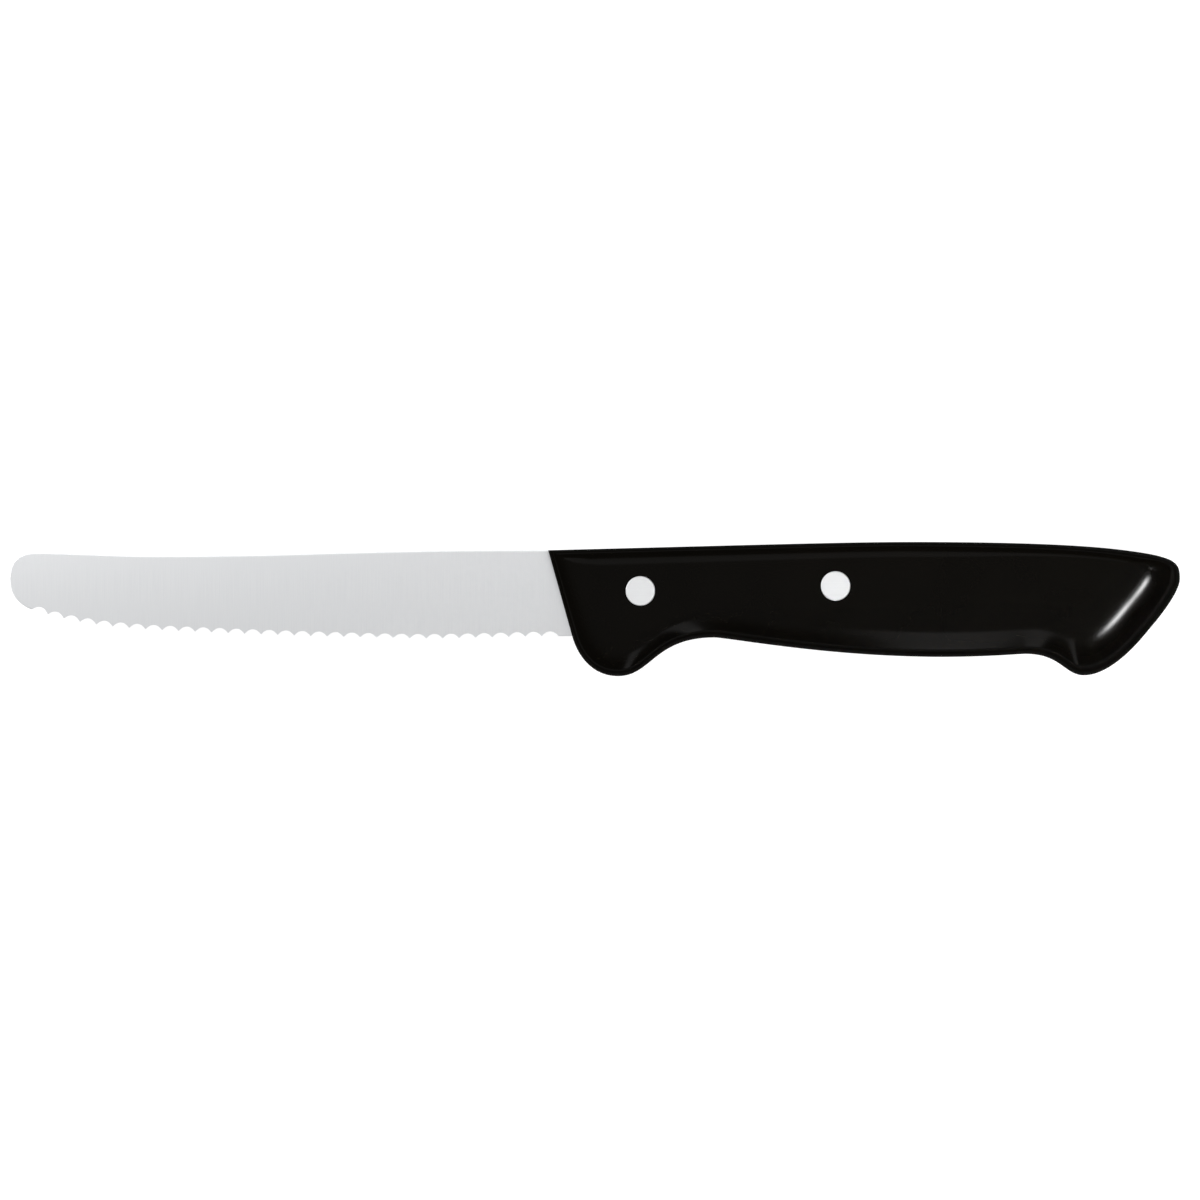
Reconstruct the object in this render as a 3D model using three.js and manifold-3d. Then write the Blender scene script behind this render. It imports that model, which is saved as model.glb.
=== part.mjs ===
// Snack knife: a wavy-edged blade on a short tang, held by two cutlery rivets in a one-piece moulded handle.
// Millimetres. The knife lies on its right side: +X runs from the tip to the end of the handle,
// +Y from the edge to the spine and +Z up through the thickness.
// While it is drawn, x = 0 and y = 0 are where the front of the handle meets the spine, and z = 0 halves the
// blade.

import * as THREE from "three";
import { mergeVertices } from "three/addons/utils/BufferGeometryUtils.js";
import Module from "manifold-3d";

const degrees = THREE.MathUtils.degToRad;

// Blade outline, as distances behind the tip, and under the spine at the handle or above or under the heel
const BLADE_LENGTH = 100; // tip to handle, halfway up the heel
const HEEL_HEIGHT = 15.6; // spine to edge where the blade enters the handle
const SPINE_RISE = degrees(0.3); // slope of the spine at the handle
const SPINE_DIP_BACK = 29; // lowest place of the spine
const SPINE_DIP_DROP = 1.22;
const TIP_RADIUS = 4.75;
const TIP_TOP_DROP = 0.5;
const TIP_CUSP_BACK = 4; // where the first scallop begins
const TIP_CUSP_ABOVE_HEEL = 4.8;
const TIP_SWEEP = degrees(19); // slope of the edge there
const SWEEP_END_BACK = 27.8; // the upswept edge runs on nearly straight from here
const SWEEP_END_ABOVE_HEEL = 0.98;
const SWEEP_END_SLOPE = degrees(3);
const EDGE_BELLY_BACK = 76; // deepest place of the edge
const EDGE_BELLY_UNDER_HEEL = 0.57;
const HEEL_SLOPE = degrees(1.2);

// Blade section
const SHEET_THICKNESS = 1.5;
const EDGE_THICKNESS = 0.5; // left by the grind, before the scallops are cut
const GRIND_BOW = 2; // 1 makes the ground sides flat, more bows them
const GRIND_RUN_OUT = 4; // the grind fades out over this length, hidden in the handle

// Scallops, ground into the right side only
const SCALLOP_PITCH = 3;
const SCALLOP_DEPTH = 0.92;
const SCALLOP_GRIND_ANGLE = degrees(25); // between the grinding wheel and the blade
const HEEL_PLAIN = 2.5; // edge beside the handle without scallops

// Tang
const TANG_DROP = 11.5; // lower edge of the tang, under the spine
const TANG_BEYOND_RIVET = 8; // the tang ends this far behind the rear rivet
const TANG_CORNER = 4;
const HEEL_IN_HANDLE = 5; // the full height of the blade reaches this far into the handle

// Handle outline, as distances behind its front or before its end, and above or under the spine
const HANDLE_LENGTH = 114.85;
const HANDLE_THICKNESS = 14;
const FRONT_RAKE = degrees(15.6); // the front leans back towards the edge
const TOP_SLOPE = degrees(1.5);
const CREST_AT = 66;
const CREST_RISE = 1.5;
const SHOULDER_BEFORE_END = 10.85;
const SHOULDER_RISE = 0.1;
const SHOULDER_SLOPE = degrees(7);
const NOSE_DROP = 5.2;
const END_SLOPE = degrees(49); // under the nose the end runs down and forward
const SLANT_BEFORE_END = 5.35;
const SLANT_DROP = 14.1;
const TOE_BEFORE_END = 17.45;
const TOE_DROP = 22.75;
const RECESS_BEFORE_END = 28.05;
const RECESS_DROP = 18.85;
const BELLY_BEFORE_END = 43.35;
const BELLY_DROP = 19.4;
const FINGER_AT = 30.2;
const FINGER_DROP = 15.87;
const GUARD_AT = 12.7;
const GUARD_DROP = 22.9;

// Rounding of the handle: how far the flat side panel stays inside each stretch of the outline, and how
// upright the wall stands at the rim, where 2 makes the rounding an ellipse and more makes it squarer
const ROUND_TOP = { width: 3.6, wall: 7 };
const ROUND_SHOULDER = { width: 2.6, wall: 4.5 };
const ROUND_END = { width: 11.3, wall: 2 };
const ROUND_BOTTOM = { width: 7.3, wall: 3.5 };
const ROUND_FINGER = { width: 5, wall: 3.5 };
const ROUND_GUARD = { width: 6, wall: 4 };
const ROUND_FRONT = { width: 6.5, wall: 5 };

// At the end of the handle the panel has a line of its own: how far its corners stay inside the rim, how far
// that way leans aside, how the line turns from the rim's, and how firmly it holds that heading
const SHOULDER_LINE = { lean: degrees(-17.4), hold: 0.4 };
const NOSE_CORNER = { width: 9.9, lean: degrees(-16.8), hold: 0.12 };
const SLANT_LINE = { hold: 0.4 };
const TOE_CORNER = { width: 9.8, lean: degrees(12.4), turn: degrees(19), hold: 0.12 };

// Rivets
const FRONT_RIVET_AT = 16.75;
const RIVET_SPACING = 35.4;
const RIVET_BELOW_TOP = 7.85;
const RIVET_HEAD_DIAMETER = 5.4;
const RIVET_HEAD_HEIGHT = 1.2;
const RIVET_EDGE_BREAK = 0.15;
const RIVET_BARREL_DIAMETER = 3.4;
const RIVET_BORE_DIAMETER = 2.2;
const RIVET_BORE_FLOOR = 1.4; // metal between the bore and the face of its head
const RIVET_TIP_GAP = 0.6; // the pin stops this far above the floor of the bore
const RIVET_CLOSING_GAP = 0.4; // the barrel stops this far under the head of the pin

// Clearances, per side
const SLOT_CLEARANCE = 0.1;
const HEAD_CLEARANCE = 0.08;
const BARREL_CLEARANCE = 0.15;
const TANG_HOLE_CLEARANCE = 0.25;
const PIN_CLEARANCE = 0.06;

// Facets
const CURVE_STEPS = 12;
const ROUND_STEPS = 8;
const GRIND_STEPS = 5;
const RUN_OUT_STEPS = 4;
const TURN_STEPS = 48;

// How far a cutting tool reaches past what it cuts
const OVERCUT = 2;

// Places that several pieces share
const frontRun = Math.tan(FRONT_RAKE);
const heelX = HEEL_HEIGHT * frontRun;
const tipX = heelX / 2 - BLADE_LENGTH;
const panelZ = HANDLE_THICKNESS / 2;
const headSeatZ = panelZ - RIVET_HEAD_HEIGHT;
const rearRivetX = FRONT_RIVET_AT + RIVET_SPACING;
const tangEndX = rearRivetX + TANG_BEYOND_RIVET;

const wasm = await Module();
wasm.setup();

// A closed geometry as a solid that can be cut.
function solidOf(geometry) {
  const bare = new THREE.BufferGeometry();
  bare.setAttribute("position", geometry.getAttribute("position"));
  bare.setIndex(geometry.getIndex());
  const merged = mergeVertices(bare);
  const mesh = new wasm.Mesh({
    numProp: 3,
    vertProperties: merged.getAttribute("position").array,
    triVerts: new Uint32Array(merged.getIndex().array),
  });
  return new wasm.Manifold(mesh);
}

// A cut solid as a geometry again.
function geometryOf(solid) {
  const mesh = solid.getMesh();
  const geometry = new THREE.BufferGeometry();
  geometry.setAttribute("position", new THREE.BufferAttribute(mesh.vertProperties, 3));
  geometry.setIndex(new THREE.BufferAttribute(mesh.triVerts, 1));
  geometry.computeVertexNormals();
  return geometry;
}

// A turned piece on the z axis. Its profile lists radius and height, from the bottom up.
function turned(profile) {
  const points = profile.map(([radius, height]) => new THREE.Vector2(radius, height));
  return new THREE.LatheGeometry(points, TURN_STEPS).rotateX(Math.PI / 2);
}

// A body through rings of equally many points, with flat ends of the outline given.
// Looking back along the way that it is lofted, the rings run clockwise.
function loft(rings, endOutline) {
  const count = rings[0].length;
  const index = [];
  for (let ring = 0; ring + 1 < rings.length; ring++) {
    for (let i = 0; i < count; i++) {
      const a = ring * count + i;
      const b = ring * count + ((i + 1) % count);
      index.push(a, a + count, b, b, a + count, b + count);
    }
  }
  const last = (rings.length - 1) * count;
  for (const [a, b, c] of THREE.ShapeUtils.triangulateShape(endOutline, [])) {
    index.push(a, c, b);
    index.push(last + a, last + b, last + c);
  }
  return new THREE.BufferGeometry().setFromPoints(rings.flat()).setIndex(index);
}

// A station of an outline: a place, the heading of the line through it, and how firmly the line holds that
// heading on its way in and out, as a share of the distance to the station on that side.
const RIGHTWARD = 0;
const LEFTWARD = Math.PI;
const DOWNWARD = -Math.PI / 2;
const UPWARD = Math.PI / 2;

function station(x, y, heading, holdIn, holdOut) {
  return { at: new THREE.Vector2(x, y), heading, holdIn, holdOut };
}

function towards(heading) {
  return new THREE.Vector2(Math.cos(heading), Math.sin(heading));
}

function curveBetween(from, to) {
  const span = from.at.distanceTo(to.at);
  const leaving = from.at.clone().addScaledVector(towards(from.heading), from.holdOut * span);
  const arriving = to.at.clone().addScaledVector(towards(to.heading), -to.holdIn * span);
  return new THREE.CubicBezierCurve(from.at, leaving, arriving, to.at);
}

function pathThrough(stations) {
  const path = new THREE.CurvePath();
  path.curves = stations.slice(1).map((to, i) => curveBetween(stations[i], to));
  return path;
}

// Rim of the handle, clockwise from its front corner on the spine; its straight front closes it.
const rimStations = [
  station(0, 0, TOP_SLOPE, 0, 0.61),
  station(CREST_AT, CREST_RISE, RIGHTWARD, 0.17, 0.37),
  station(HANDLE_LENGTH - SHOULDER_BEFORE_END, SHOULDER_RISE, -SHOULDER_SLOPE, 0.24, 0.87),
  station(HANDLE_LENGTH, -NOSE_DROP, DOWNWARD, 0.25, 0.24),
  station(HANDLE_LENGTH - SLANT_BEFORE_END, -SLANT_DROP, END_SLOPE - LEFTWARD, 0.19, 0.1),
  station(HANDLE_LENGTH - TOE_BEFORE_END, -TOE_DROP, LEFTWARD, 0.37, 0.31),
  station(HANDLE_LENGTH - RECESS_BEFORE_END, -RECESS_DROP, LEFTWARD, 0.57, 0.07),
  station(HANDLE_LENGTH - BELLY_BEFORE_END, -BELLY_DROP, LEFTWARD, 0.55, 0.5),
  station(FINGER_AT, -FINGER_DROP, LEFTWARD, 0.06, 0.58),
  station(GUARD_AT, -GUARD_DROP, LEFTWARD, 0.32, 0.41),
  station(heelX, -HEEL_HEIGHT, UPWARD + FRONT_RAKE, 0.36, 0),
];
const roundings = [
  ROUND_TOP,
  ROUND_TOP,
  { ...ROUND_SHOULDER, ...SHOULDER_LINE },
  { ...ROUND_END, ...NOSE_CORNER },
  { ...ROUND_END, ...SLANT_LINE },
  { ...ROUND_END, ...TOE_CORNER },
  ROUND_BOTTOM,
  ROUND_BOTTOM,
  ROUND_FINGER,
  ROUND_GUARD,
  ROUND_FRONT,
];

// The side panel lies inside the rim by the rounding at each station, and at its front corner by two of them.
function panelStations() {
  const panel = rimStations.map((rim, i) => {
    const { width, lean = 0, turn = 0, hold } = roundings[i];
    const { x, y } = rim.at.clone().addScaledVector(towards(rim.heading + DOWNWARD + lean), width);
    return station(x, y, rim.heading + turn, hold ?? rim.holdIn, hold ?? rim.holdOut);
  });
  const corner = panel[0].at;
  corner.x = ROUND_FRONT.width / Math.cos(FRONT_RAKE) - corner.y * frontRun;
  return panel;
}

function outlinePoints(stations) {
  return pathThrough(stations).getPoints(CURVE_STEPS);
}

// How upright the wall stands at a point of the outline, between its stations.
function wallAt(point) {
  const from = Math.floor(point / CURVE_STEPS);
  const to = Math.min(from + 1, roundings.length - 1);
  return THREE.MathUtils.lerp(roundings[from].wall, roundings[to].wall, point / CURVE_STEPS - from);
}

// The moulded body swells from one side panel to the other through the rim at mid-thickness.
function handleBody() {
  const rim = outlinePoints(rimStations);
  const panel = outlinePoints(panelStations());
  const rings = [];
  for (let step = -ROUND_STEPS; step <= ROUND_STEPS; step++) {
    const turn = (step / ROUND_STEPS) * (Math.PI / 2);
    const ring = rim.map((point, i) => {
      const { x, y } = point.clone().lerp(panel[i], 1 - Math.cos(turn));
      const z = panelZ * Math.sign(turn) * Math.abs(Math.sin(turn)) ** (2 / wallAt(i));
      return new THREE.Vector3(x, y, z);
    });
    rings.push(ring);
  }
  return solidOf(loft(rings, panel));
}

// Height of the handle's top line, which runs from the front over the crest to the shoulder.
const topLine = pathThrough(rimStations.slice(0, 3));

function topHeightAt(x) {
  let low = 0;
  let high = 1;
  while (high - low > Number.EPSILON) {
    const middle = (low + high) / 2;
    if (topLine.getPoint(middle).x < x) low = middle;
    else high = middle;
  }
  return topLine.getPoint(low).y;
}

// Rivet centres, all at one depth under the top line
const rivets = Object.entries({ front_rivet: FRONT_RIVET_AT, rear_rivet: rearRivetX }).map(([name, x]) => {
  return { name, x, y: topHeightAt(x) - RIVET_BELOW_TOP };
});

// Half the thickness of the ground sheet. The grind thins it from the spine to the edge, and runs out to the
// full sheet behind the front of the handle.
function halfThickness(x, y) {
  const runOut = THREE.MathUtils.smoothstep(x + y * frontRun, 0, GRIND_RUN_OUT);
  const atEdge = THREE.MathUtils.lerp(EDGE_THICKNESS, SHEET_THICKNESS, runOut);
  const towardsEdge = THREE.MathUtils.clamp(-y / HEEL_HEIGHT, 0, 1);
  return THREE.MathUtils.lerp(SHEET_THICKNESS, atEdge, towardsEdge ** GRIND_BOW) / 2;
}

// All that the grind leaves, with a clearance on both sides, and a section at each step of the run-out.
function grindEnvelope(clearance) {
  const heights = [CREST_RISE + 2 * OVERCUT];
  for (let step = 0; step <= GRIND_STEPS; step++) {
    heights.push((-HEEL_HEIGHT * step) / GRIND_STEPS);
  }
  heights.push(-HEEL_HEIGHT - EDGE_BELLY_UNDER_HEEL - OVERCUT);
  const sections = [tipX - heelX - OVERCUT];
  for (let step = 0; step <= RUN_OUT_STEPS; step++) {
    sections.push((GRIND_RUN_OUT * step) / RUN_OUT_STEPS);
  }
  sections.push(tangEndX + heelX + OVERCUT);
  const rings = sections.map((behindFront) => {
    const right = heights.map((y) => {
      const x = behindFront - y * frontRun;
      return new THREE.Vector3(x, y, -halfThickness(x, y) - clearance);
    });
    const left = right.map(({ x, y, z }) => new THREE.Vector3(x, y, -z));
    return [...right, ...left.reverse()];
  });
  const endOutline = rings[0].map(({ y, z }) => new THREE.Vector2(y, z));
  return solidOf(loft(rings, endOutline));
}

// The ground sheet inside an outline, with a clearance on both sides.
function groundSheet(shape, clearance) {
  const thickness = SHEET_THICKNESS + 2 * OVERCUT;
  const settings = { depth: thickness, bevelEnabled: false, curveSegments: CURVE_STEPS };
  const blank = new THREE.ExtrudeGeometry(shape, settings).translate(0, 0, -thickness / 2);
  return solidOf(blank).intersect(grindEnvelope(clearance));
}

// Lower edge and rear end of the tang, or of the slot that clears it.
function drawTang(shape, clearance) {
  const stepX = heelX + HEEL_IN_HANDLE + clearance;
  const lower = -TANG_DROP - clearance;
  const rear = tangEndX + clearance;
  const corner = TANG_CORNER + clearance;
  shape.lineTo(stepX, -HEEL_HEIGHT - clearance);
  shape.lineTo(stepX, lower);
  shape.lineTo(rear - corner, lower);
  shape.absarc(rear - corner, lower + corner, corner, DOWNWARD, RIGHTWARD, false);
}

// The slot fits the ground blade, and is open at the front and along the top.
function slotTool() {
  const above = CREST_RISE + OVERCUT;
  const shape = new THREE.Shape();
  shape.moveTo(-OVERCUT, above);
  shape.lineTo(-OVERCUT, -HEEL_HEIGHT - SLOT_CLEARANCE);
  drawTang(shape, SLOT_CLEARANCE);
  shape.lineTo(tangEndX + SLOT_CLEARANCE, above);
  return groundSheet(shape, SLOT_CLEARANCE);
}

// A rivet's hole right through the handle, with a seat for a head on each side.
function rivetHoleTool({ x, y }) {
  const bore = RIVET_BARREL_DIAMETER / 2 + BARREL_CLEARANCE;
  const seat = RIVET_HEAD_DIAMETER / 2 + HEAD_CLEARANCE;
  const outside = panelZ + OVERCUT;
  const profile = [
    [0, -outside],
    [seat, -outside],
    [seat, -headSeatZ],
    [bore, -headSeatZ],
    [bore, headSeatZ],
    [seat, headSeatZ],
    [seat, outside],
    [0, outside],
  ];
  return solidOf(turned(profile).translate(x, y, 0));
}

function handle() {
  let body = handleBody().subtract(slotTool());
  for (const rivet of rivets) {
    body = body.subtract(rivetHoleTool(rivet));
  }
  return geometryOf(body);
}

// Outline of the blade: from the handle along the spine, round the tip and back along the edge
const QUARTER_CIRCLE = (4 - 2 * Math.SQRT2) / 3; // the hold that makes a quarter turn round
const edgeStations = [
  station(tipX + TIP_CUSP_BACK, TIP_CUSP_ABOVE_HEEL - HEEL_HEIGHT, -TIP_SWEEP, 0.29, 0.29),
  station(tipX + SWEEP_END_BACK, SWEEP_END_ABOVE_HEEL - HEEL_HEIGHT, -SWEEP_END_SLOPE, 0.46, 0.21),
  station(tipX + EDGE_BELLY_BACK, -HEEL_HEIGHT - EDGE_BELLY_UNDER_HEEL, RIGHTWARD, 0.21, 0.23),
  station(heelX, -HEEL_HEIGHT, HEEL_SLOPE, 0.31, 0),
];
const bladeStations = [
  station(0, 0, LEFTWARD + SPINE_RISE, 0, 0.49),
  station(tipX + SPINE_DIP_BACK, -SPINE_DIP_DROP, LEFTWARD, 0.38, 0.41),
  station(tipX + TIP_RADIUS, -TIP_TOP_DROP, LEFTWARD, 0.25, QUARTER_CIRCLE),
  station(tipX, -TIP_TOP_DROP - TIP_RADIUS, DOWNWARD, QUARTER_CIRCLE, 0.48),
  ...edgeStations,
];

// Blade and tang in one outline; the back of the tang follows the facets of the handle's top, flush with it.
function bladeShape() {
  const shape = new THREE.Shape();
  shape.curves = pathThrough(bladeStations).curves;
  shape.currentPoint.set(heelX, -HEEL_HEIGHT);
  drawTang(shape, 0);
  shape.lineTo(tangEndX, topHeightAt(tangEndX));
  for (const { x, y } of topLine.getPoints(CURVE_STEPS).reverse()) {
    if (x < tangEndX) shape.lineTo(x, y);
  }
  for (const { x, y } of rivets) {
    const hole = new THREE.Path();
    hole.absarc(x, y, RIVET_BARREL_DIAMETER / 2 + TANG_HOLE_CLEARANCE, 0, 2 * Math.PI);
    shape.holes.push(hole);
  }
  return shape;
}

// The grinding wheel at each scallop. It leans against the right side, and its cut ends on the left side in
// an arc of the scallop's pitch and depth.
function scallopTools() {
  const edge = pathThrough(edgeStations);
  const scalloped = edge.getLength() - HEEL_PLAIN;
  const count = Math.round(scalloped / SCALLOP_PITCH);
  const pitch = scalloped / count;
  const rise = SCALLOP_DEPTH * Math.sin(SCALLOP_GRIND_ANGLE);
  const radius = ((pitch / 2) ** 2 + rise ** 2) / (2 * rise);
  const reach = SHEET_THICKNESS / Math.sin(SCALLOP_GRIND_ANGLE) + OVERCUT;
  return Array.from({ length: count }, (_, i) => {
    const share = ((i + 0.5) * pitch) / edge.getLength();
    const { x, y } = edge.getPointAt(share);
    const tangent = edge.getTangentAt(share);
    const along = new THREE.Vector3(tangent.x, tangent.y, 0);
    const inward = new THREE.Vector3(-tangent.y, tangent.x, 0);
    const leftward = new THREE.Vector3(0, 0, 1);
    const onLeftSide = new THREE.Matrix4().makeBasis(along, inward, leftward);
    onLeftSide.setPosition(x, y, halfThickness(x, y));
    const wheel = new THREE.CylinderGeometry(radius, radius, 2 * reach, TURN_STEPS);
    wheel.translate(0, 0, rise - radius).rotateX(-SCALLOP_GRIND_ANGLE).applyMatrix4(onLeftSide);
    return solidOf(wheel);
  });
}

function blade() {
  let body = groundSheet(bladeShape(), 0);
  for (const tool of scallopTools()) {
    body = body.subtract(tool);
  }
  return geometryOf(body);
}

// Pin half of a rivet, with its head on the left side.
function rivetMale() {
  const head = RIVET_HEAD_DIAMETER / 2;
  const pin = RIVET_BORE_DIAMETER / 2 - PIN_CLEARANCE;
  const tip = RIVET_BORE_FLOOR + RIVET_TIP_GAP - panelZ;
  return turned([
    [0, tip],
    [pin - RIVET_EDGE_BREAK, tip],
    [pin, tip + RIVET_EDGE_BREAK],
    [pin, headSeatZ],
    [head, headSeatZ],
    [head, panelZ - RIVET_EDGE_BREAK],
    [head - RIVET_EDGE_BREAK, panelZ],
    [0, panelZ],
  ]);
}

// Barrel half of a rivet, with its head on the right side.
function rivetFemale() {
  const head = RIVET_HEAD_DIAMETER / 2;
  const barrel = RIVET_BARREL_DIAMETER / 2;
  const bore = RIVET_BORE_DIAMETER / 2;
  const mouth = headSeatZ - RIVET_CLOSING_GAP;
  const floor = RIVET_BORE_FLOOR - panelZ;
  return turned([
    [0, -panelZ],
    [head - RIVET_EDGE_BREAK, -panelZ],
    [head, RIVET_EDGE_BREAK - panelZ],
    [head, -headSeatZ],
    [barrel, -headSeatZ],
    [barrel, mouth],
    [bore, mouth],
    [bore, floor],
    [0, floor],
  ]);
}

// Finishes
const groundSteel = new THREE.MeshStandardMaterial({ color: 0xd5d6d8, metalness: 1, roughness: 0.35 });
const rivetSteel = new THREE.MeshStandardMaterial({ color: 0xe4e5e6, metalness: 1, roughness: 0.3 });
const blackPlastic = new THREE.MeshStandardMaterial({ color: 0x100f0d, metalness: 0, roughness: 0.35 });

// Assembly, stood on the right side panel with its origin under the middle of its outline
const knife = new THREE.Group();

function addPiece(name, geometry, material, x = 0, y = 0) {
  const piece = new THREE.Mesh(geometry, material);
  piece.name = name;
  piece.position.set(x, y, 0);
  knife.add(piece);
}

addPiece("blade", blade(), groundSteel);
addPiece("handle", handle(), blackPlastic);
for (const { name, x, y } of rivets) {
  addPiece(`${name}_male`, rivetMale(), rivetSteel, x, y);
  addPiece(`${name}_female`, rivetFemale(), rivetSteel, x, y);
}

const box = new THREE.Box3().setFromObject(knife);
const middle = box.getCenter(new THREE.Vector3());
knife.position.set(-middle.x, -middle.y, -box.min.z);

export default knife;
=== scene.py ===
import math
from collections import namedtuple

import bmesh
import bpy
import numpy as np
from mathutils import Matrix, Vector


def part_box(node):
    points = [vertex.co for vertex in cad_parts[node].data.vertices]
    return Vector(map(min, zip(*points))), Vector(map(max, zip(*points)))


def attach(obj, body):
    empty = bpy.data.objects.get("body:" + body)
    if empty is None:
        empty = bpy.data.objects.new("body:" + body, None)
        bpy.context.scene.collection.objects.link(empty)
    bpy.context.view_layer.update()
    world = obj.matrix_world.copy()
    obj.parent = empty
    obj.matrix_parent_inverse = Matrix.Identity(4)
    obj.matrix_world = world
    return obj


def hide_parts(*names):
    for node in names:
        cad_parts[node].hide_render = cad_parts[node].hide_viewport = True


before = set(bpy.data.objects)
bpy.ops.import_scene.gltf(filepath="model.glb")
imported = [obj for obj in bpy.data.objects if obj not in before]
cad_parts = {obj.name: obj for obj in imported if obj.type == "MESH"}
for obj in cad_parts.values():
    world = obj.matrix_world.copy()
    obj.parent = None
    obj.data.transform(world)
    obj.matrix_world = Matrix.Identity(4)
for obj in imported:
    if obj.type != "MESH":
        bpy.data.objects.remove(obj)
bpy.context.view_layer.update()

# Blade
# One stamped sheet of stainless steel with a short tang behind it. Both sides are ground with a slight
# bow, so that it thins towards the edge, and the grind runs out inside the handle.
# A small wheel has cut the scallops from the right side only, so the left side stays plain.
MM = 0.001
BLADE_LENGTH = 100.0
HEEL_HEIGHT = 15.6
SHEET_THICKNESS = 1.5
EDGE_THICKNESS = 0.5
GRIND_BOW = 2.0
GRIND_RUN_OUT = 4.0
EDGE_BREAK = 0.06
SCALLOP_PITCH = 3.0
SCALLOP_DEPTH = 0.92
SCALLOP_ANGLE = math.radians(25)
HEEL_PLAIN = 2.5
FRONT_RAKE = math.radians(15.6)
TIP_RADIUS = 4.75
TIP_TOP_DROP = 0.48
TANG_DROP = 11.5
TANG_END = 60.15
TANG_CORNER = 4.0
HEEL_IN_HANDLE = 5.0
HANDLE_LENGTH = 114.85
CREST_RISE = 1.5
RIGHTWARD = 0.0
LEFTWARD = math.pi
DOWNWARD = -math.pi / 2
UPWARD = math.pi / 2
TIP_HOLD = 0.48  # 0.39 makes a quarter circle, more makes its corner fuller

front_run = math.tan(FRONT_RAKE)
heel_x = HEEL_HEIGHT * front_run
tip_x = heel_x / 2 - BLADE_LENGTH

# The knife is drawn in millimetres from the place where the front of the handle meets the spine.
handle_low, handle_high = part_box("handle")
front_corner = Vector((
    handle_high.x - HANDLE_LENGTH * MM,
    handle_high.y - CREST_RISE * MM,
    (handle_low.z + handle_high.z) / 2,
))

# A station is a place on an outline, the heading of the line through it, and how firmly the line holds
# that heading on its way in and out, as a share of the distance to the station on that side.
Station = namedtuple("Station", "x y heading hold_in hold_out")


def along(stations, steps):
    """Points on the smooth line through some stations, with both ends."""
    points = []
    for start, end in zip(stations, stations[1:]):
        span = math.hypot(end.x - start.x, end.y - start.y)
        leave = np.array([math.cos(start.heading), math.sin(start.heading)]) * start.hold_out * span
        arrive = np.array([math.cos(end.heading), math.sin(end.heading)]) * end.hold_in * span
        a = np.array([start.x, start.y])
        d = np.array([end.x, end.y])
        b = a + leave
        c = d - arrive
        for t in np.linspace(0, 1, steps, endpoint=False):
            s = 1 - t
            points.append(s ** 3 * a + 3 * s ** 2 * t * b + 3 * s * t ** 2 * c + t ** 3 * d)
    points.append(np.array([stations[-1].x, stations[-1].y]))
    return np.array(points)


def to_frame(point):
    """A drawn point in the frame of the part."""
    return front_corner + Vector(point) * MM


def add_piece(name, vertices, faces, material):
    mesh = bpy.data.meshes.new(name)
    mesh.from_pydata([to_frame(v) for v in vertices], [], faces)
    mesh.materials.append(material)
    piece = bpy.data.objects.new(name, mesh)
    bpy.context.scene.collection.objects.link(piece)
    return piece


# The top of the handle, with its front corner, its crest and the start of its round end.
top_stations = [
    Station(0, 0, math.radians(1.5), 0, 0.61),
    Station(66, CREST_RISE, RIGHTWARD, 0.17, 0.37),
    Station(HANDLE_LENGTH - 10.85, 0.1, math.radians(-7), 0.24, 0.87),
]

# The spine dips a little behind the round tip. Below the tip, a blunt nose leads to the long curved edge.
tip_front = Station(tip_x, -TIP_TOP_DROP - TIP_RADIUS, UPWARD, 0, TIP_HOLD)
tip_top = Station(tip_x + TIP_RADIUS, -TIP_TOP_DROP, RIGHTWARD, TIP_HOLD, 0.32)
nose_end = Station(tip_x + 4, -10.8, math.radians(-19), 0.29, 0.29)
tip_stations = [tip_front, tip_top]
spine_stations = [
    tip_top,
    Station(tip_x + 26, -1.05, RIGHTWARD, 0.28, 0.4),
    Station(0, 0, math.radians(-0.3), 0.47, 0),
]
nose_stations = [tip_front._replace(heading=DOWNWARD, hold_out=0.48), nose_end]
edge_stations = [
    nose_end,
    Station(tip_x + 27.8, -14.62, math.radians(-3), 0.46, 0.21),
    Station(tip_x + 76, -16.17, RIGHTWARD, 0.21, 0.23),
    Station(heel_x, -HEEL_HEIGHT, math.radians(1.2), 0.31, 0),
]
FINE = 400
top_line = along(top_stations, FINE)
spine_line = along(spine_stations, FINE)


def top_height(x):
    return float(np.interp(x, top_line[:, 0], top_line[:, 1]))


def spine_height(x):
    return float(np.interp(x, spine_line[:, 0], spine_line[:, 1]))


def half_thickness(x, y):
    share = min(max((x + y * front_run) / GRIND_RUN_OUT, 0), 1)
    run_out = share * share * (3 - 2 * share)
    at_edge = EDGE_THICKNESS + (SHEET_THICKNESS - EDGE_THICKNESS) * run_out
    towards_edge = min(max(-y / HEEL_HEIGHT, 0), 1)
    return (SHEET_THICKNESS + (at_edge - SHEET_THICKNESS) * towards_edge ** GRIND_BOW) / 2


BREAK_TURNS = (0, math.pi / 6, math.pi / 3, math.pi / 2)
CUT_POINTS = 8


def plain_rim(point, inward):
    """Section of a lightly rounded rim, from the left side to the right."""
    outer = half_thickness(*point)
    section = []
    for side in (1, -1):
        corner = []
        for turn in BREAK_TURNS:
            inset = EDGE_BREAK * (1 - math.sin(turn))
            x, y = point + inward * inset
            corner.append((x, y, side * (outer - EDGE_BREAK * (1 - math.cos(turn)))))
        section += corner if side > 0 else corner[::-1]
    return section


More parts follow.
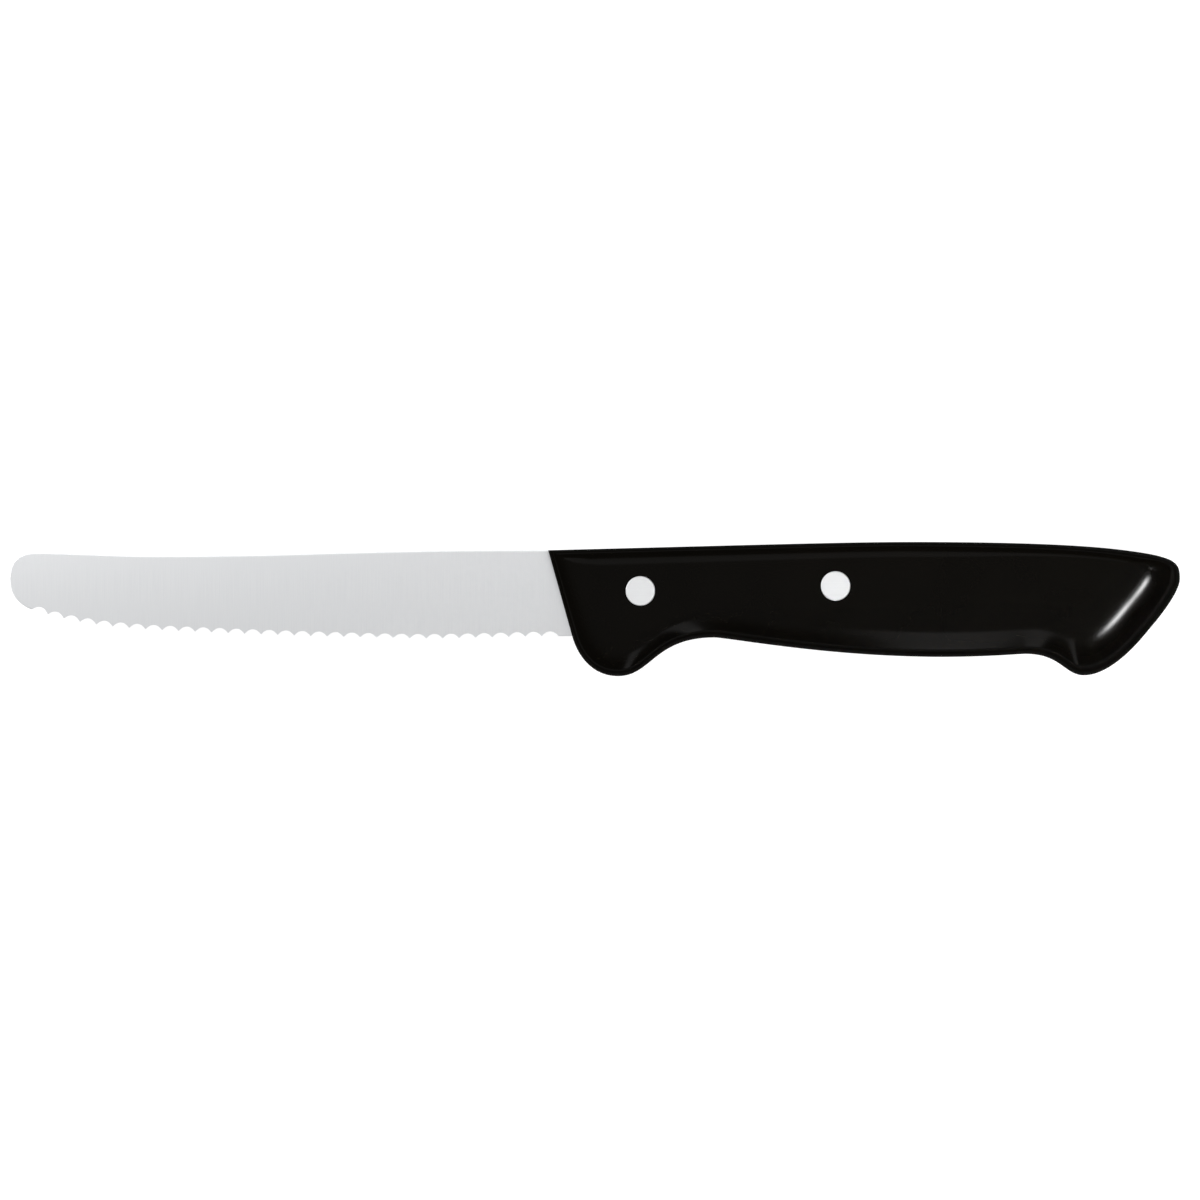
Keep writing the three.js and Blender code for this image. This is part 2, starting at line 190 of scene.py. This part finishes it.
def ground_rim(point, inward, depth):
    """Section of the cut that the wheel leaves, from the edge on the left side up the right side."""
    left = point + inward * depth
    height = half_thickness(*left)
    right = left + inward * 2 * height / math.tan(SCALLOP_ANGLE)
    lower = -half_thickness(*right)
    section = []
    for share in np.linspace(0, 1, CUT_POINTS):
        x, y = left + (right - left) * share
        section.append((x, y, height + (lower - height) * share))
    return section


def inward_normals(points):
    """Unit normals to the left of a line's travel."""
    travel = np.gradient(points, axis=0)
    travel /= np.linalg.norm(travel, axis=1)[:, None]
    return np.stack([-travel[:, 1], travel[:, 0]], axis=1)


# The scallops share out the edge in front of the plain heel, as arcs of the wheel laid over at its angle.
TIP_STEPS = 24
SCALLOP_STEPS = 14
TANG_STEPS = 20
BACKWARD = (1.0, 0.0)
nose_line = along(nose_stations, TIP_STEPS)
edge_line = along(edge_stations, FINE)
edge_travel = np.concatenate([[0], np.cumsum(np.linalg.norm(np.diff(edge_line, axis=0), axis=1))])
scalloped = edge_travel[-1] - HEEL_PLAIN
scallop_count = round(scalloped / SCALLOP_PITCH)
pitch = scalloped / scallop_count
rise = SCALLOP_DEPTH * math.sin(SCALLOP_ANGLE)
wheel_radius = ((pitch / 2) ** 2 + rise ** 2) / (2 * rise)
edge_places = np.linspace(0, scalloped, scallop_count * SCALLOP_STEPS + 1)
cut_line = np.stack([np.interp(edge_places, edge_travel, edge_line[:, i]) for i in (0, 1)], axis=1)
cut_inward = inward_normals(cut_line)
off_middle = (edge_places % pitch) - pitch / 2
off_middle[::SCALLOP_STEPS] = pitch / 2
wheel_reach = np.sqrt(wheel_radius ** 2 - off_middle ** 2) - (wheel_radius - rise)
cut_depth = wheel_reach / math.sin(SCALLOP_ANGLE)

# Lower line: round the tip, along the scallops, the plain heel and the underside of the tang.
nose_inward = inward_normals(nose_line)
nose_inward[0] = BACKWARD
lower_sections = [plain_rim(p, n) for p, n in zip(nose_line, nose_inward)]
lower_sections += [ground_rim(p, n, d) for p, n, d in zip(cut_line, cut_inward, cut_depth)]
upward = np.array([0.0, 1.0])
forward = np.array([-1.0, 0.0])
step_x = heel_x + HEEL_IN_HANDLE
tang_x = np.linspace(step_x, TANG_END - TANG_CORNER, TANG_STEPS)
under_points = [(cut_line[-1], upward), (np.array([heel_x, -HEEL_HEIGHT]), upward)]
under_points += [(np.array([step_x, -HEEL_HEIGHT]), (upward + forward) / math.sqrt(2))]
under_points += [(np.array([x, -TANG_DROP]), upward) for x in tang_x]
corner_middle = np.array([TANG_END - TANG_CORNER, TANG_CORNER - TANG_DROP])
for turn in np.linspace(0, math.pi / 2, TIP_STEPS)[1:]:
    outward = np.array([math.sin(turn), -math.cos(turn)])
    under_points.append((corner_middle + TANG_CORNER * outward, -outward))
lower_sections += [plain_rim(p, n) for p, n in under_points]

# Upper line: round the tip, along the spine and the back of the tang, with a point for each lower one.
tip_line = along(tip_stations, TIP_STEPS)
spine_x = np.linspace(tip_x + TIP_RADIUS, 0, len(cut_line) + 2)
back_x = np.linspace(0, TANG_END, len(under_points))[1:]
upper_line = list(tip_line)
upper_line += [np.array([x, spine_height(x)]) for x in spine_x[1:]]
upper_line += [np.array([x, top_height(x)]) for x in back_x]
upper_line = np.array(upper_line)[: len(lower_sections)]
upper_inward = -inward_normals(upper_line)
upper_inward[0] = BACKWARD
upper_sections = [plain_rim(p, n) for p, n in zip(upper_line, upper_inward)]

# Across each side runs a row of points on the ground face, closer together next to the rims.
ACROSS = (0.02, 0.1, 0.25, 0.4, 0.55, 0.7, 0.85, 0.98)


def ground_side(start, end, side, shares):
    """A row of points across one side, from one rim to the other."""
    row = []
    for share in shares:
        x = start[0] + (end[0] - start[0]) * share
        y = start[1] + (end[1] - start[1]) * share
        row.append((x, y, side * half_thickness(x, y)))
    return row


blade_loops = []
for lower, upper in zip(lower_sections, upper_sections):
    right_side = ground_side(lower[-1], upper[-1], -1, ACROSS)
    left_side = ground_side(lower[0], upper[0], 1, ACROSS[::-1])
    blade_loops.append(lower + right_side + upper[::-1] + left_side)


def skinned(loops):
    """Points and faces of a skin over loops of equally many points, with a flat face on the last."""
    size = len(loops[0])
    faces = []
    for a in range(0, (len(loops) - 1) * size, size):
        for i in range(size):
            b = (i + 1) % size
            faces.append((a + i, a + b, a + b + size, a + i + size))
    last = (len(loops) - 1) * size
    faces.append(tuple(range(last, last + size)))
    return [point for loop in loops for point in loop], faces


TONE_PLACES = (0.3, 0.7)
BELT_MARKS = (9000, 120, 120)
BELT_DETAIL = 4.0
BELT_RELIEF = 0.12
BELT_MARK_DEPTH = 0.00001
BLADE_TONES = ((0.80, 0.81, 0.825, 1), (0.835, 0.845, 0.855, 1))
BLADE_ROUGHNESS = (0.27, 0.31)


def blank_material(name):
    """A new material, with its nodes, its links and its shader."""
    material = bpy.data.materials.new(name)
    material.use_nodes = True
    nodes = material.node_tree.nodes
    return material, nodes, material.node_tree.links, nodes["Principled BSDF"]


def noise(nodes, scale, detail):
    texture = nodes.new("ShaderNodeTexNoise")
    texture.inputs["Scale"].default_value = scale
    texture.inputs["Detail"].default_value = detail
    return texture


def two_tones(nodes, tones):
    """A ramp from the darker tone of a finish to the lighter one."""
    ramp = nodes.new("ShaderNodeValToRGB")
    for element, place, tone in zip(ramp.color_ramp.elements, TONE_PLACES, tones):
        element.position = place
        element.color = tone
    return ramp


def spread_over(nodes, lowest, highest):
    """A node that spreads a share over a range."""
    spread = nodes.new("ShaderNodeMapRange")
    spread.inputs["To Min"].default_value = lowest
    spread.inputs["To Max"].default_value = highest
    return spread


def fine_relief(nodes, strength, depth):
    relief = nodes.new("ShaderNodeBump")
    relief.inputs["Strength"].default_value = strength
    relief.inputs["Distance"].default_value = depth
    return relief


def ground_steel(name, marks_along, detail, tones, roughness, relief_strength=0):
    """Satin stainless steel with the fine marks of the belt that ground it, which may catch the light."""
    material, nodes, links, shader = blank_material(name)
    shader.inputs["Metallic"].default_value = 1.0
    place = nodes.new("ShaderNodeTexCoord")
    stretch = nodes.new("ShaderNodeMapping")
    stretch.inputs["Scale"].default_value = marks_along
    marks = noise(nodes, 1.0, detail)
    tone = two_tones(nodes, tones)
    gloss = spread_over(nodes, *roughness)
    links.new(place.outputs["Object"], stretch.inputs["Vector"])
    links.new(stretch.outputs["Vector"], marks.inputs["Vector"])
    links.new(marks.outputs["Fac"], tone.inputs["Fac"])
    links.new(marks.outputs["Fac"], gloss.inputs["Value"])
    links.new(tone.outputs["Color"], shader.inputs["Base Color"])
    links.new(gloss.outputs["Result"], shader.inputs["Roughness"])
    if relief_strength:
        relief = fine_relief(nodes, relief_strength, BELT_MARK_DEPTH)
        links.new(marks.outputs["Fac"], relief.inputs["Height"])
        links.new(relief.outputs["Normal"], shader.inputs["Normal"])
    return material


WELD_DISTANCE = 0.000001


def weld(piece):
    """Joins the points that lie on each other and turns all faces outwards."""
    shell = bmesh.new()
    shell.from_mesh(piece.data)
    bmesh.ops.remove_doubles(shell, verts=shell.verts, dist=WELD_DISTANCE)
    bmesh.ops.recalc_face_normals(shell, faces=shell.faces)
    shell.to_mesh(piece.data)
    shell.free()


def cut(piece, tools):
    """Takes the tools' shapes out of a piece."""
    for tool in tools:
        modifier = piece.modifiers.new("cut", "BOOLEAN")
        modifier.operation = "DIFFERENCE"
        modifier.solver = "EXACT"
        modifier.object = tool
    finished = piece.evaluated_get(bpy.context.evaluated_depsgraph_get())
    piece.data = bpy.data.meshes.new_from_object(finished)
    piece.modifiers.clear()
    for tool in tools:
        bpy.data.objects.remove(tool)


def smooth(piece, sharp_angle):
    """Smooth shading that breaks at the edges sharper than an angle."""
    piece.data.shade_smooth()
    piece.data.set_sharp_from_angle(angle=sharp_angle)


TURNED_STEPS = 96


def turned(name, profile, middle, material):
    """A turned piece. Its profile lists radius and height, from the bottom up."""
    vertices = []
    faces = []
    for radius, height in profile:
        for i in range(TURNED_STEPS):
            turn = 2 * math.pi * i / TURNED_STEPS
            x = middle[0] + radius * math.cos(turn)
            y = middle[1] + radius * math.sin(turn)
            vertices.append((x, y, height))
    for ring in range(len(profile) - 1):
        for i in range(TURNED_STEPS):
            a = ring * TURNED_STEPS + i
            b = ring * TURNED_STEPS + (i + 1) % TURNED_STEPS
            faces.append((a, b, b + TURNED_STEPS, a + TURNED_STEPS))
    piece = add_piece(name, vertices, faces, material)
    weld(piece)
    return piece


RIVET_X = {"front": 16.75, "rear": 52.15}
RIVET_BELOW_TOP = 7.85
BARREL_DIAMETER = 3.4
TANG_HOLE_CLEARANCE = 0.25
OVERCUT = 2.0
STEEL_SHARP = math.radians(20)
rivet_middles = {name: (x, top_height(x) - RIVET_BELOW_TOP) for name, x in RIVET_X.items()}
hole = BARREL_DIAMETER / 2 + TANG_HOLE_CLEARANCE
hole_profile = [(0, -OVERCUT), (hole, -OVERCUT), (hole, OVERCUT), (0, OVERCUT)]
steel = ground_steel("ground_steel", BELT_MARKS, BELT_DETAIL, BLADE_TONES, BLADE_ROUGHNESS, BELT_RELIEF)
blade = add_piece("ground_blade", *skinned(blade_loops), steel)
weld(blade)
cut(blade, [turned("hole", hole_profile, middle, None) for middle in rivet_middles.values()])
smooth(blade, STEEL_SHARP)
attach(blade, "root")
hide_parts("blade")

# Handle
# One black plastic moulding round the tang, with a slot that is open at the front and along the top.
# Its flat sides run out in soft roundings to a rim at mid-thickness, with a guard in front and a hooked
# end. The rivets hold it on the tang.
HANDLE_THICKNESS = 14.0
OUTLINE_STEPS = 30
ROUND_STEPS = 20
SLOT_CLEARANCE = 0.1
SLOT_STEPS = 9
RUN_OUT_STEPS = 5
HEAD_DIAMETER = 5.4
HEAD_HEIGHT = 1.2
HEAD_CLEARANCE = 0.08
BARREL_CLEARANCE = 0.15

# The rim goes on from the top, round the end, the hook, the belly, the finger groove and the guard.
rim_stations = top_stations + [
    Station(HANDLE_LENGTH, -5.2, DOWNWARD, 0.25, 0.24),
    Station(HANDLE_LENGTH - 5.35, -14.1, math.radians(49) - math.pi, 0.19, 0.1),
    Station(HANDLE_LENGTH - 17.45, -22.75, LEFTWARD, 0.37, 0.31),
    Station(HANDLE_LENGTH - 28.05, -18.85, LEFTWARD, 0.57, 0.07),
    Station(HANDLE_LENGTH - 43.35, -19.4, LEFTWARD, 0.55, 0.5),
    Station(30.2, -15.87, LEFTWARD, 0.06, 0.58),
    Station(12.7, -22.9, LEFTWARD, 0.32, 0.41),
    Station(heel_x, -HEEL_HEIGHT, UPWARD + FRONT_RAKE, 0.36, 0.3),
]

# A rounding is how far the flat panel stays inside the rim at a station, how upright the wall stands at the
# rim, and how the panel's line leans away from the rim's at a corner: aside, in heading, and in its holds.
Rounding = namedtuple("Rounding", "width wall lean turn hold_in hold_out", defaults=(0, 0, None, None))
front_rounding = Rounding(6.5, 5.0)
roundings = [
    Rounding(3.6, 7.0),
    Rounding(3.6, 7.0),
    Rounding(2.6, 4.5, math.radians(-17.4), 0, 0.4, 0.4),
    Rounding(9.9, 2.0, math.radians(-16.8), 0, 0.12, 0.12),
    Rounding(11.3, 2.0, 0, 0, 0.4, 0.4),
    Rounding(9.8, 2.0, math.radians(12.4), math.radians(19.0), 0.12, 0.12),
    Rounding(7.3, 3.5),
    Rounding(7.3, 3.5),
    Rounding(5.0, 3.5),
    Rounding(6.0, 4.0),
    front_rounding,
]

# The flat panel lies inside the rim by the rounding at each station, and at its front corner by two.
panel_stations = []
for rim, rounding in zip(rim_stations, roundings):
    inward = rim.heading + DOWNWARD + rounding.lean
    panel_stations.append(Station(
        rim.x + rounding.width * math.cos(inward),
        rim.y + rounding.width * math.sin(inward),
        rim.heading + rounding.turn,
        rim.hold_in if rounding.hold_in is None else rounding.hold_in,
        rim.hold_out if rounding.hold_out is None else rounding.hold_out,
    ))
corner_x = front_rounding.width / math.cos(FRONT_RAKE) - panel_stations[0].y * front_run
panel_stations[0] = panel_stations[0]._replace(x=corner_x)


def closed(stations):
    """The outline through some stations, closed by a straight front."""
    outline = along(stations, OUTLINE_STEPS)
    front = np.linspace(outline[-1], outline[0], OUTLINE_STEPS, endpoint=False)
    return np.concatenate([outline, front[1:]])


rim_line = closed(rim_stations)
panel_line = closed(panel_stations)
walls = [rounding.wall for rounding in roundings]
rim_places = np.arange(len(rim_line)) / OUTLINE_STEPS
wall_line = np.interp(rim_places, np.arange(len(roundings) + 1), walls + walls[:1])
panel_z = HANDLE_THICKNESS / 2
rim_count = len(rim_line)
handle_vertices = []
handle_faces = []
for step in range(-ROUND_STEPS, ROUND_STEPS + 1):
    turn = step / ROUND_STEPS * math.pi / 2
    ring = rim_line + (panel_line - rim_line) * (1 - math.cos(turn))
    heights = panel_z * np.sign(step) * abs(math.sin(turn)) ** (2 / wall_line)
    handle_vertices += [(x, y, z) for (x, y), z in zip(ring, heights)]
for ring in range(2 * ROUND_STEPS):
    for i in range(rim_count):
        a = ring * rim_count + i
        b = ring * rim_count + (i + 1) % rim_count
        handle_faces.append((a, a + rim_count, b + rim_count, b))
handle_faces.append(tuple(range(rim_count)))
handle_faces.append(tuple(range(len(handle_vertices) - 1, len(handle_vertices) - rim_count - 1, -1)))

GRAIN_SCALE = 2500.0
GRAIN_RELIEF = 0.05
GRAIN_DEPTH = 0.00002
CLOUD_SCALE = 90.0
PLASTIC_DETAIL = 3.0
PLASTIC_TONES = ((0.0016, 0.0013, 0.0008, 1), (0.0021, 0.0017, 0.0011, 1))
PLASTIC_ROUGHNESS = (0.14, 0.17)
GLANCING_FROM = 0.3
GLANCING_ROUGHNESS = 0.7
EVEN_BLEND = 0.5
PANEL_SHINE = 0.05
RIM_SHINE = 0.002
RIM_SLOPE = 0.55
PANEL_SLOPE = 0.8


def black_plastic():
    """Satin black moulded plastic with the faint unevenness of a worn mould, duller on the rim."""
    material, nodes, links, shader = blank_material("black_plastic")
    place = nodes.new("ShaderNodeTexCoord")
    grain = noise(nodes, GRAIN_SCALE, PLASTIC_DETAIL)
    cloud = noise(nodes, CLOUD_SCALE, PLASTIC_DETAIL)
    tone = two_tones(nodes, PLASTIC_TONES)
    gloss = spread_over(nodes, *PLASTIC_ROUGHNESS)
    facing = nodes.new("ShaderNodeLayerWeight")
    facing.inputs["Blend"].default_value = EVEN_BLEND
    glancing = spread_over(nodes, 0, GLANCING_ROUGHNESS)
    glancing.interpolation_type = "SMOOTHSTEP"
    glancing.inputs["From Min"].default_value = GLANCING_FROM
    slope = nodes.new("ShaderNodeSeparateXYZ")
    either_side = nodes.new("ShaderNodeMath")
    either_side.operation = "ABSOLUTE"
    shine = spread_over(nodes, RIM_SHINE, PANEL_SHINE)
    shine.interpolation_type = "SMOOTHSTEP"
    shine.inputs["From Min"].default_value = RIM_SLOPE
    shine.inputs["From Max"].default_value = PANEL_SLOPE
    relief = fine_relief(nodes, GRAIN_RELIEF, GRAIN_DEPTH)
    for texture in (grain, cloud):
        links.new(place.outputs["Object"], texture.inputs["Vector"])
    links.new(cloud.outputs["Fac"], tone.inputs["Fac"])
    links.new(cloud.outputs["Fac"], gloss.inputs["Value"])
    links.new(grain.outputs["Fac"], relief.inputs["Height"])
    links.new(facing.outputs["Facing"], glancing.inputs["Value"])
    links.new(gloss.outputs["Result"], glancing.inputs["To Min"])
    links.new(place.outputs["Normal"], slope.inputs["Vector"])
    links.new(slope.outputs["Z"], either_side.inputs["Value"])
    links.new(either_side.outputs["Value"], shine.inputs["Value"])
    links.new(tone.outputs["Color"], shader.inputs["Base Color"])
    links.new(glancing.outputs["Result"], shader.inputs["Roughness"])
    links.new(shine.outputs["Result"], shader.inputs["Specular IOR Level"])
    links.new(relief.outputs["Normal"], shader.inputs["Normal"])
    return material


plastic = black_plastic()
handle = add_piece("moulded_handle", handle_vertices, handle_faces, plastic)
weld(handle)

# The slot fits the ground blade and its tang, and is open at the front and along the top.
slot_top = CREST_RISE + OVERCUT
slot_low = -HEEL_HEIGHT - SLOT_CLEARANCE
run_out_places = np.linspace(0, GRIND_RUN_OUT, RUN_OUT_STEPS)
slot_rows = []
for behind in (-OVERCUT, *run_out_places, HEEL_IN_HANDLE + SLOT_CLEARANCE):
    under = (behind - slot_low * front_run, slot_low)
    over = (behind - slot_top * front_run, slot_top)
    slot_rows.append((under, over))
tang_low = -TANG_DROP - SLOT_CLEARANCE
tang_under = [(x + SLOT_CLEARANCE, tang_low) for x in (step_x, TANG_END - TANG_CORNER)]
for turn in np.linspace(0, math.pi / 2, TIP_STEPS):
    outward = np.array([math.sin(turn), -math.cos(turn)])
    tang_under.append(corner_middle + (TANG_CORNER + SLOT_CLEARANCE) * outward)
tang_over = np.linspace(slot_rows[-1][1][0], TANG_END + SLOT_CLEARANCE, len(tang_under) + 1)[1:]
slot_rows += [(under, (x, slot_top)) for under, x in zip(tang_under, tang_over)]
slot_loops = []
for under, over in slot_rows:
    left = []
    for share in np.linspace(0, 1, SLOT_STEPS):
        x = under[0] + (over[0] - under[0]) * share
        y = under[1] + (over[1] - under[1]) * share
        left.append((x, y, half_thickness(x, y) + SLOT_CLEARANCE))
    slot_loops.append(left + [(x, y, -z) for x, y, z in left[::-1]])
slot_vertices, slot_faces = skinned(slot_loops)
slot_faces.append(tuple(range(len(slot_loops[0]) - 1, -1, -1)))
slot_tool = add_piece("slot", slot_vertices, slot_faces, plastic)
weld(slot_tool)

# Each rivet has a stepped hole, with a seat for a head on both sides.
PLASTIC_SHARP = math.radians(30)
bore = BARREL_DIAMETER / 2 + BARREL_CLEARANCE
seat = HEAD_DIAMETER / 2 + HEAD_CLEARANCE
head_seat = panel_z - HEAD_HEIGHT
outside = panel_z + OVERCUT
seat_profile = [
    (0, -outside), (seat, -outside), (seat, -head_seat), (bore, -head_seat),
    (bore, head_seat), (seat, head_seat), (seat, outside), (0, outside),
]
hole_tools = [turned("rivet_hole", seat_profile, middle, plastic) for middle in rivet_middles.values()]
cut(handle, [slot_tool, *hole_tools])
smooth(handle, PLASTIC_SHARP)
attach(handle, "root")
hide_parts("handle")

# Rivets
# Two-part cutlery rivets of stainless steel: a pin with its head on the left side is pressed into a barrel
# with its head on the right. The heads are ground flush with the handle.
BORE_DIAMETER = 2.2
BORE_FLOOR = 1.4
TIP_GAP = 0.6
CLOSING_GAP = 0.4
HEAD_BREAK = 0.15
PIN_CLEARANCE = 0.06
head = HEAD_DIAMETER / 2
pin = BORE_DIAMETER / 2 - PIN_CLEARANCE
tip = BORE_FLOOR + TIP_GAP - panel_z
break_bow = HEAD_BREAK / 3
male_profile = [
    (0, tip), (pin - HEAD_BREAK, tip), (pin, tip + HEAD_BREAK), (pin, head_seat), (head, head_seat),
    (head, panel_z - HEAD_BREAK), (head - break_bow, panel_z - break_bow),
    (head - HEAD_BREAK, panel_z), (0, panel_z),
]
barrel = BARREL_DIAMETER / 2
barrel_bore = BORE_DIAMETER / 2
mouth = head_seat - CLOSING_GAP
floor_z = BORE_FLOOR - panel_z
female_profile = [
    (0, -panel_z), (head - HEAD_BREAK, -panel_z), (head - break_bow, break_bow - panel_z),
    (head, HEAD_BREAK - panel_z), (head, -head_seat), (barrel, -head_seat), (barrel, mouth),
    (barrel_bore, mouth), (barrel_bore, floor_z), (0, floor_z),
]

FLUSH_MARKS = (120, 9000, 120)
FLUSH_DETAIL = 3.0
RIVET_TONES = ((0.66, 0.665, 0.67, 1), (0.695, 0.70, 0.705, 1))
RIVET_ROUGHNESS = (0.58, 0.64)
flush_steel = ground_steel("rivet_steel", FLUSH_MARKS, FLUSH_DETAIL, RIVET_TONES, RIVET_ROUGHNESS)
for place_name, middle in rivet_middles.items():
    for half, profile in (("male", male_profile), ("female", female_profile)):
        rivet = turned(f"{place_name}_rivet_{half}_turned", profile, middle, flush_steel)
        smooth(rivet, STEEL_SHARP)
        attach(rivet, "root")
        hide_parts(f"{place_name}_rivet_{half}")

# Table
# A plain white sheet that the knife lies on, far larger than the view, which keeps a faint shadow.
# It lies a hair below the handle's lower side, so that the two faces stay apart.
TABLE_SIZE = 8.0
TABLE_DROP = 0.00005
PAPER_COLOUR = (0.30, 0.30, 0.30, 1)
SEEN_GLOW = 0.9


def white_table():
    """Grey paper in the light of the lamps, made up to white where it is seen or mirrored."""
    material, nodes, links, shader = blank_material("white_table")
    nodes.remove(shader)
    paper = nodes.new("ShaderNodeBsdfDiffuse")
    paper.inputs["Color"].default_value = PAPER_COLOUR
    glow = nodes.new("ShaderNodeEmission")
    path = nodes.new("ShaderNodeLightPath")
    seen = nodes.new("ShaderNodeMath")
    seen.operation = "MAXIMUM"
    seen_through = nodes.new("ShaderNodeMath")
    seen_through.operation = "MAXIMUM"
    level = nodes.new("ShaderNodeMath")
    level.operation = "MULTIPLY"
    level.inputs[1].default_value = SEEN_GLOW
    both = nodes.new("ShaderNodeAddShader")
    links.new(path.outputs["Is Camera Ray"], seen.inputs[0])
    links.new(path.outputs["Is Glossy Ray"], seen.inputs[1])
    links.new(seen.outputs["Value"], seen_through.inputs[0])
    links.new(path.outputs["Is Transmission Ray"], seen_through.inputs[1])
    links.new(seen_through.outputs["Value"], level.inputs[0])
    links.new(level.outputs["Value"], glow.inputs["Strength"])
    links.new(paper.outputs["BSDF"], both.inputs[0])
    links.new(glow.outputs["Emission"], both.inputs[1])
    links.new(both.outputs["Shader"], nodes["Material Output"].inputs["Surface"])
    return material


table_mesh = bpy.data.meshes.new("table")
reach = TABLE_SIZE / 2
table_corners = ((-reach, -reach), (reach, -reach), (reach, reach), (-reach, reach))
table_mesh.from_pydata([(x, y, -TABLE_DROP) for x, y in table_corners], [], [(0, 1, 2, 3)])
table_mesh.materials.append(white_table())
table = bpy.data.objects.new("table", table_mesh)
bpy.context.scene.collection.objects.link(table)

# Light
# A dim studio that is lighter overhead: a narrow card close in front of the handle, a small lamp beyond
# its end, a wide soft box over the far side of the knife, and a nearer one over the tip.
ROOM_LEVELS = ((0, 0.15), (0.35, 0.18), (0.55, 0.2), (0.75, 0.3), (0.93, 0.66), (0.98, 0.72), (1, 0.735))
world = bpy.data.worlds.new("studio")
bpy.context.scene.world = world
world.use_nodes = True
world_nodes = world.node_tree.nodes
world_links = world.node_tree.links
direction = world_nodes.new("ShaderNodeTexCoord")
split = world_nodes.new("ShaderNodeSeparateXYZ")
room = world_nodes.new("ShaderNodeValToRGB")
for height, level in ROOM_LEVELS[1:-1]:
    room.color_ramp.elements.new(height)
for element, (height, level) in zip(room.color_ramp.elements, ROOM_LEVELS):
    element.color = (level, level, level, 1)
world_links.new(direction.outputs["Generated"], split.inputs["Vector"])
world_links.new(split.outputs["Z"], room.inputs["Fac"])
world_links.new(room.outputs["Color"], world_nodes["Background"].inputs["Color"])

knife_middle = Vector((0, 0, panel_z * MM))


def add_lamp(name, azimuth, tilt, distance, width, height, radiance, aim, spread=180):
    """A flat lamp that faces a place on the knife, at a tilt from straight above it. Angles in degrees."""
    data = bpy.data.lights.new(name, "AREA")
    data.shape = "RECTANGLE"
    data.size = width
    data.size_y = height
    data.energy = radiance * math.pi * width * height
    data.spread = math.radians(spread)
    lamp = bpy.data.objects.new(name, data)
    level = math.sin(math.radians(tilt))
    away = Vector((
        level * math.cos(math.radians(azimuth)),
        level * math.sin(math.radians(azimuth)),
        math.cos(math.radians(tilt)),
    ))
    lamp.location = knife_middle + Vector((*aim, 0)) + away * distance
    lamp.rotation_euler = away.to_track_quat("Z", "Y").to_euler()
    bpy.context.scene.collection.objects.link(lamp)


add_lamp(
    "front_card", azimuth=-90, tilt=56, distance=0.24, width=0.047, height=0.2875, radiance=3.1,
    aim=(0.0735, -0.012),
)
add_lamp(
    "end_lamp", azimuth=-37.1, tilt=38, distance=1.2, width=0.17, height=0.126, radiance=1.0,
    aim=(0.12, 0), spread=8.5,
)
add_lamp(
    "over_box", azimuth=110, tilt=24, distance=0.8, width=0.9, height=0.35, radiance=1.05,
    aim=(-0.12, 0),
)
add_lamp(
    "tip_box", azimuth=140, tilt=38, distance=0.45, width=0.4, height=0.25, radiance=7.0,
    aim=(-0.14, 0),
)

# Camera
# It hangs straight over the knife, as in the photograph, and looks at the middle of the picture.
VIEW_WIDTH = 218.18 * MM
VIEW_X = 9.42
VIEW_Y = -9.05
CAMERA_HEIGHT = 2.5
SENSOR_WIDTH = 36.0
camera_data = bpy.data.cameras.new("camera")
camera_data.sensor_width = SENSOR_WIDTH
camera_data.lens = SENSOR_WIDTH * CAMERA_HEIGHT / VIEW_WIDTH
camera = bpy.data.objects.new("camera", camera_data)
camera.location = to_frame((VIEW_X, VIEW_Y, 0)) + Vector((0, 0, CAMERA_HEIGHT))
bpy.context.scene.collection.objects.link(camera)
bpy.context.scene.camera = camera
bpy.context.scene.view_settings.view_transform = "Standard"
